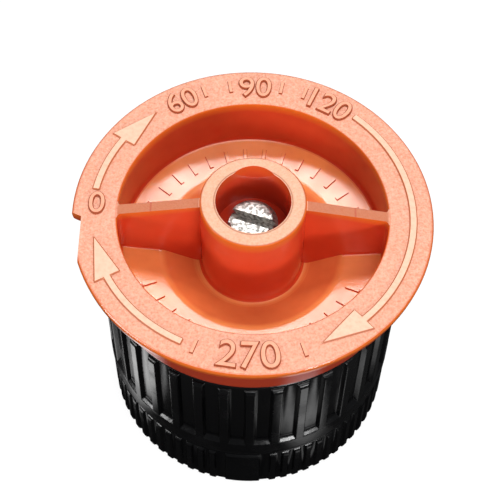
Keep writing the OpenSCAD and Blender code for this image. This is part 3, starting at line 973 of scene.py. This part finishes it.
@dataclass
class RimNumber:
    """Raised number on the rim. It follows the rim's curve, unless it stands upright. The radius
    of its foot and its other lengths are in mm."""

    name: str
    text: str
    middle_deg: float
    foot: TextSide
    foot_r: float
    height: float = 1.75
    rise: float = 0.12
    bevel: float = 0.06

    def build(self, rim_z: float) -> bpy.types.Object:
        """Builds the number.

        Args:
            rim_z: Height of the rim's top face, in metres.

        Returns:
            The number, a plain mesh.
        """
        curve = bpy.data.curves.new(self.name, "FONT")
        curve.body = self.text
        curve.align_x = "CENTER"
        curve.resolution_u = 6
        scale = self.height * MM / FIGURE_HEIGHT
        curve.extrude = 0.5 * (self.rise + SUNK_MM) * MM / scale
        curve.bevel_depth = self.bevel * MM / scale
        curve.bevel_resolution = 0
        source = bpy.data.objects.new(self.name, curve)
        bpy.context.scene.collection.objects.link(source)
        piece = plain_mesh(source, self.name)
        mid_z = rim_z + 0.5 * (self.rise - SUNK_MM) * MM
        side = self.foot.value
        middle_r = (self.foot_r + side * self.height / 2) * MM
        for vert in piece.data.vertices:
            x, y, z = vert.co * scale
            if self.foot is TextSide.UPRIGHT:
                vert.co = polar(middle_r, self.middle_deg, mid_z + z) + Vector((x, y, 0))
            else:
                a = self.middle_deg - side * math.degrees(x / middle_r)
                vert.co = polar(self.foot_r * MM + side * y, a, mid_z + z)
        return piece


@dataclass
class TickRing:
    """Ring of raised ticks on the rim or on the dish floor. Lengths in mm, angles in degrees. The
    drop is how far the middle of a tick lies below the rim's top face."""

    name: str
    count: int
    first_deg: float
    step_deg: float
    radius: float = 10.85
    length: float = 1.1
    width: float = 0.3
    height: float = 0.17
    drop: float = -0.035
    tilt_deg: float = 0.0

    def build(self, ticks: TickTree, finish: bpy.types.Material,
              rim_z: float) -> bpy.types.Object:
        """Builds the ring.

        Args:
            ticks: Tree that makes rings of ticks.
            finish: Material of the ticks.
            rim_z: Height of the rim's top face, in metres.

        Returns:
            The ring, a plain mesh.
        """
        blank = mesh_object("tick_blank", [(0, 0, 0)], [])
        return ticks.apply(blank, self.name, finish, count=self.count, radius=self.radius * MM,
                           first_angle=math.radians(self.first_deg),
                           step_angle=math.radians(self.step_deg), length=self.length * MM,
                           width=self.width * MM, height=self.height * MM,
                           level=rim_z - self.drop * MM, tilt=math.radians(self.tilt_deg))


def floor_ring(name: str, count: int, first_deg: float) -> TickRing:
    """Gives the sizes of a graduation on the outer floor of the dish.

    Args:
        name: Name of the ring.
        count: Number of ticks.
        first_deg: Angle of the first tick.

    Returns:
        The ring.
    """
    return TickRing(name, count, first_deg, step_deg=10.0, radius=7.75, width=0.32, height=0.2,
                    drop=4.18, tilt_deg=-8.0)


@dataclass
class DeflectorCap:
    """Orange cap: the CAD node gets its finish, the rim its arrows, ticks and numbers, and the
    dish floor its graduation. Sizes in mm."""

    node: str = "deflector_cap"
    hub_rise: float = 1.5
    hub_r: float = 3.6
    dish_r: float = 9.2
    arrows: list[RimArrow] = field(default_factory=lambda: [
        RimArrow("rim_arrow_left", 172.0, 148.0, 129.6),
        RimArrow("rim_arrow_right", 50.5, -46.8, -65.4),
        RimArrow("rim_arrow_front", -113.2, -150.4, -168.8)])
    numbers: list[RimNumber] = field(default_factory=lambda: [
        RimNumber("rim_number_0", "0", 182.0, TextSide.UPRIGHT, 10.6),
        RimNumber("rim_number_60", "60", 119.5, TextSide.INWARD, 9.9),
        RimNumber("rim_number_90", "90", 90.5, TextSide.INWARD, 9.9),
        RimNumber("rim_number_120", "120", 61.6, TextSide.INWARD, 9.9),
        RimNumber("rim_number_270", "270", -90.0, TextSide.OUTWARD, 11.75, 2.0)])
    rim_ticks: list[TickRing] = field(default_factory=lambda: [
        TickRing("rim_ticks_back_left", 2, 100.0, 10.0),
        TickRing("rim_ticks_back_right", 2, 71.5, 9.0),
        TickRing("rim_ticks_front", 2, -109.0, 38.0)])
    floor_ticks: list[TickRing] = field(default_factory=lambda: [
        floor_ring("dish_ticks_back", 14, 25.0), floor_ring("dish_ticks_front", 14, 205.0)])

    def dress(self, ticks: TickTree) -> None:
        """Gives the cap its finish, and makes its marks.

        Args:
            ticks: Tree that makes rings of ticks.
        """
        rim_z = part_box(self.node)[1][2] - self.hub_rise * MM
        orange = OrangeAcetal().build(self, rim_z)
        polished = RaisedMark().build()
        plain = RaisedMark(name="acetal_orange_matt_mark", face="#F0A888", spot="#E29474",
                           flank_shade="#A04A28", roughness=0.5).build()
        dress(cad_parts[self.node], orange)
        dressed = [(arrow.build(rim_z), polished) for arrow in self.arrows]
        dressed += [(number.build(rim_z), plain) for number in self.numbers]
        dressed += [(ring.build(ticks, plain, rim_z), plain) for ring in self.rim_ticks]
        dressed += [(ring.build(ticks, orange, rim_z), orange) for ring in self.floor_ticks]
        for piece, finish in dressed:
            outward(piece)
            dress(piece, finish)
            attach(piece, "base")


@dataclass
class ArcCollar:
    """Black collar: the CAD node with its finish."""

    node: str = "arc_collar"

    def dress(self, black: bpy.types.Material) -> None:
        """Gives the collar the finish of the black mouldings."""
        dress(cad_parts[self.node], black)


@dataclass
class RiserBase:
    """Black base: the CAD node with its finish, and the thread in its riser socket, a ring whose
    back is sunk in the socket's wall. Sizes in mm."""

    node: str = "base"
    socket_r: float = 7.95
    socket_depth: float = 8.0
    pitch: float = 0.907
    thread_depth: float = 0.5
    thread_start: float = 0.45
    backing: float = 0.3
    rows: int = 110

    def dress(self, black: bpy.types.Material, thread: ThreadTree) -> None:
        """Gives the base its finish and its thread.

        Args:
            black: Finish of the black mouldings.
            thread: Tree that cuts threads.
        """
        dress(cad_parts[self.node], black)
        low, high = self.thread_start, self.socket_depth - 0.1
        back_r = (self.socket_r + self.backing) * MM
        outline = [((self.socket_r - 0.02) * MM, (low + (high - low) * k / self.rows) * MM)
                   for k in range(self.rows + 1)]
        outline += [(back_r, high * MM), (back_r, low * MM)]
        blank = lathe("socket_blank", outline, 144, True)
        piece = thread.apply(blank, "socket_thread", black, pitch=self.pitch * MM,
                             depth=-self.thread_depth * MM, inner_radius=0.0,
                             outer_radius=self.socket_r * MM, bottom=low * MM, top=high * MM)
        outward(piece, 50)
        dress(piece, black)
        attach(piece, "base")


@dataclass
class RadiusScrew:
    """Headless slotted screw with a real thread, No. 6, 32 threads per inch. Sizes in mm."""

    node: str = "radius_screw"
    root_r: float = 1.38
    pitch: float = 0.794
    slot_w: float = 0.75
    slot_depth: float = 0.9
    slot_deg: float = -18.0
    tip_length: float = 0.3
    tip_inset: float = 0.35
    top_chamfer: float = 0.06
    run_out: float = 0.45
    rows: int = 190

    def dress(self, thread: ThreadTree) -> None:
        """Replaces the plain CAD screw by a threaded one.

        Args:
            thread: Tree that cuts threads.
        """
        low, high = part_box(self.node)
        crest_r = (high[0] - low[0]) / 2 - 0.01 * MM
        root_r = self.root_r * MM
        steel = BrightStainless().build()
        bottom, top = low[2] + self.tip_length * MM, high[2] - self.top_chamfer * MM
        wall = [(root_r, bottom + (top - bottom) * k / self.rows) for k in range(self.rows + 1)]
        tip_end = [(0.0, low[2]), (root_r - self.tip_inset * MM, low[2])]
        top_end = [(root_r - 0.05 * MM, high[2]), (root_r * 0.5, high[2]), (0.0, high[2])]
        outline = tip_end + wall + top_end
        blank = lathe("screw_blank", outline, 96, False)
        shank = thread.apply(blank, "screw_shank", steel, pitch=self.pitch * MM,
                             depth=crest_r - root_r, inner_radius=root_r - 0.02 * MM,
                             outer_radius=1.0, bottom=low[2],
                             top=high[2] + self.run_out * MM)
        outward(shank)
        half, reach = self.slot_w / 2 * MM, 2.5 * MM
        turn = Matrix.Rotation(math.radians(self.slot_deg), 3, "Z")
        corners = [turn @ Vector(c) for c in
                   [(-reach, -half, 0), (reach, -half, 0), (reach, half, 0), (-reach, half, 0)]]
        cutter = prism("slot_cutter", corners, high[2] - self.slot_depth * MM,
                       high[2] + 1 * MM, 0.02 * MM)
        cut = shank.modifiers.new("slot", "BOOLEAN")
        cut.operation = "DIFFERENCE"
        cut.object = cutter
        cut.solver = "EXACT"
        piece = plain_mesh(shank, "screw_threaded")
        bpy.data.objects.remove(cutter)
        outward(piece)
        dress(piece, steel)
        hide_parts(self.node)
        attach(piece, "screw")


@dataclass(frozen=True)
class SoftLamp:
    """Soft lamp that points at the nozzle and is hidden from the camera. Lengths in mm."""

    name: str
    place: tuple[float, float, float]
    width: float
    height: float
    watts: float

    def build(self, aim: Vector) -> None:
        """Adds the lamp.

        Args:
            aim: Point that the lamp faces, in mm.
        """
        data = bpy.data.lights.new(self.name, "AREA")
        data.shape = "RECTANGLE"
        data.size = self.width * MM
        data.size_y = self.height * MM
        data.energy = self.watts
        lamp = bpy.data.objects.new(self.name, data)
        lamp.location = Vector(self.place) * MM
        lamp.rotation_euler = (aim - Vector(self.place)).to_track_quat("-Z", "Y").to_euler()
        lamp.visible_camera = False
        bpy.context.scene.collection.objects.link(lamp)


@dataclass
class Studio:
    """Pale floor, soft lamps and a plain, pale world."""

    aim_mm: tuple[float, float, float] = (0.0, 0.0, 14.0)
    floor_half_m: float = 3.0
    world_colour: str = "#F2F4F8"
    world_light: float = 0.3
    world_mirrored: float = 0.15
    lamps: tuple[SoftLamp, ...] = (
        SoftLamp("back_strip", (0, 105, 185), 100, 24, 0.08),
        SoftLamp("upper_strip", (0, 80, 200), 110, 22, 0.13),
        SoftLamp("top_softbox", (40, -50, 184), 120, 120, 0.15),
        SoftLamp("left_window", (-137, -73, 59), 75, 26, 0.09),
        SoftLamp("front_right_window", (74, -136, 70), 60, 22, 0.11))

    def build(self) -> None:
        """Builds the floor, the lamps and the world."""
        half = self.floor_half_m
        floor = mesh_object("floor", [(-half, -half, 0), (half, -half, 0), (half, half, 0),
                                      (-half, half, 0)], [[0, 1, 2, 3]])
        dress(floor, PaleFloor().build())
        for lamp in self.lamps:
            lamp.build(Vector(self.aim_mm))
        self._world()

    def _world(self) -> None:
        """Sets the world: white where the camera sees it, dimmer in mirrors than as a light."""
        world = bpy.data.worlds.new("pale_room")
        bpy.context.scene.world = world
        world.use_nodes = True
        tree = world.node_tree
        tree.nodes.clear()
        add = partial(add_node, tree)
        path = add("ShaderNodeLightPath").outputs
        mirrored = add("ShaderNodeMath", {0: path["Is Glossy Ray"], 1: path["Is Transmission Ray"]},
                       operation="MAXIMUM").outputs[0]
        strength = add("ShaderNodeMapRange", {"Value": mirrored, "To Min": self.world_light,
                                              "To Max": self.world_mirrored}).outputs[0]
        light = add("ShaderNodeBackground", {0: linear(self.world_colour),
                                             1: strength}).outputs[0]
        shown = add("ShaderNodeBackground", {0: (1, 1, 1, 1), 1: 1.0}).outputs[0]
        both = add("ShaderNodeMixShader", {0: path["Is Camera Ray"], 1: light, 2: shown})
        add("ShaderNodeOutputWorld", {0: both.outputs[0]})


@dataclass(frozen=True)
class ProductCamera:
    """Camera above the front of the nozzle, looking down into the dish. The two aims turn the
    view off the middle of the rim, as tangents."""

    elevation_deg: float = 56.97
    distance_mm: float = 93.127
    aim_right: float = -0.00139
    aim_up: float = -0.02681
    roll_deg: float = 1.523
    lens_mm: float = 99.15

    def build(self, rim_z: float) -> None:
        """Adds the camera.

        Args:
            rim_z: Height of the rim's top face, in metres.
        """
        data = bpy.data.cameras.new("camera")
        data.lens = self.lens_mm
        data.sensor_width = 36.0
        data.clip_start = 0.005
        data.clip_end = 20.0
        camera = bpy.data.objects.new("camera", data)
        a = math.radians(self.elevation_deg)
        offset = Vector((0, -math.cos(a), math.sin(a)))
        ahead = -offset
        right = Vector((1, 0, 0))
        up = right.cross(ahead)
        ahead = (ahead + self.aim_right * right + self.aim_up * up).normalized()
        right = ahead.cross(Vector((0, 0, 1))).normalized()
        up = right.cross(ahead)
        roll = math.radians(self.roll_deg)
        level = right * math.cos(roll) + up * math.sin(roll)
        over = -right * math.sin(roll) + up * math.cos(roll)
        turn = Matrix((level, over, -ahead)).transposed().to_4x4()
        place = offset * self.distance_mm * MM + Vector((0, 0, rim_z))
        camera.matrix_world = Matrix.Translation(place) @ turn
        bpy.context.scene.collection.objects.link(camera)
        bpy.context.scene.camera = camera


def main() -> None:
    """Builds the nozzle's looks, the stage and the camera."""
    logging.basicConfig(level=logging.INFO)
    thread = ThreadTree()
    ticks = TickTree()
    black = BlackAcetal().build()
    cap = DeflectorCap()
    cap.dress(ticks)
    ArcCollar().dress(black)
    RiserBase().dress(black, thread)
    RadiusScrew().dress(thread)
    Studio().build()
    ProductCamera().build(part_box(cap.node)[1][2] - cap.hub_rise * MM)
    bpy.context.scene.view_settings.view_transform = "Standard"


if __name__ == "__main__":
    main()
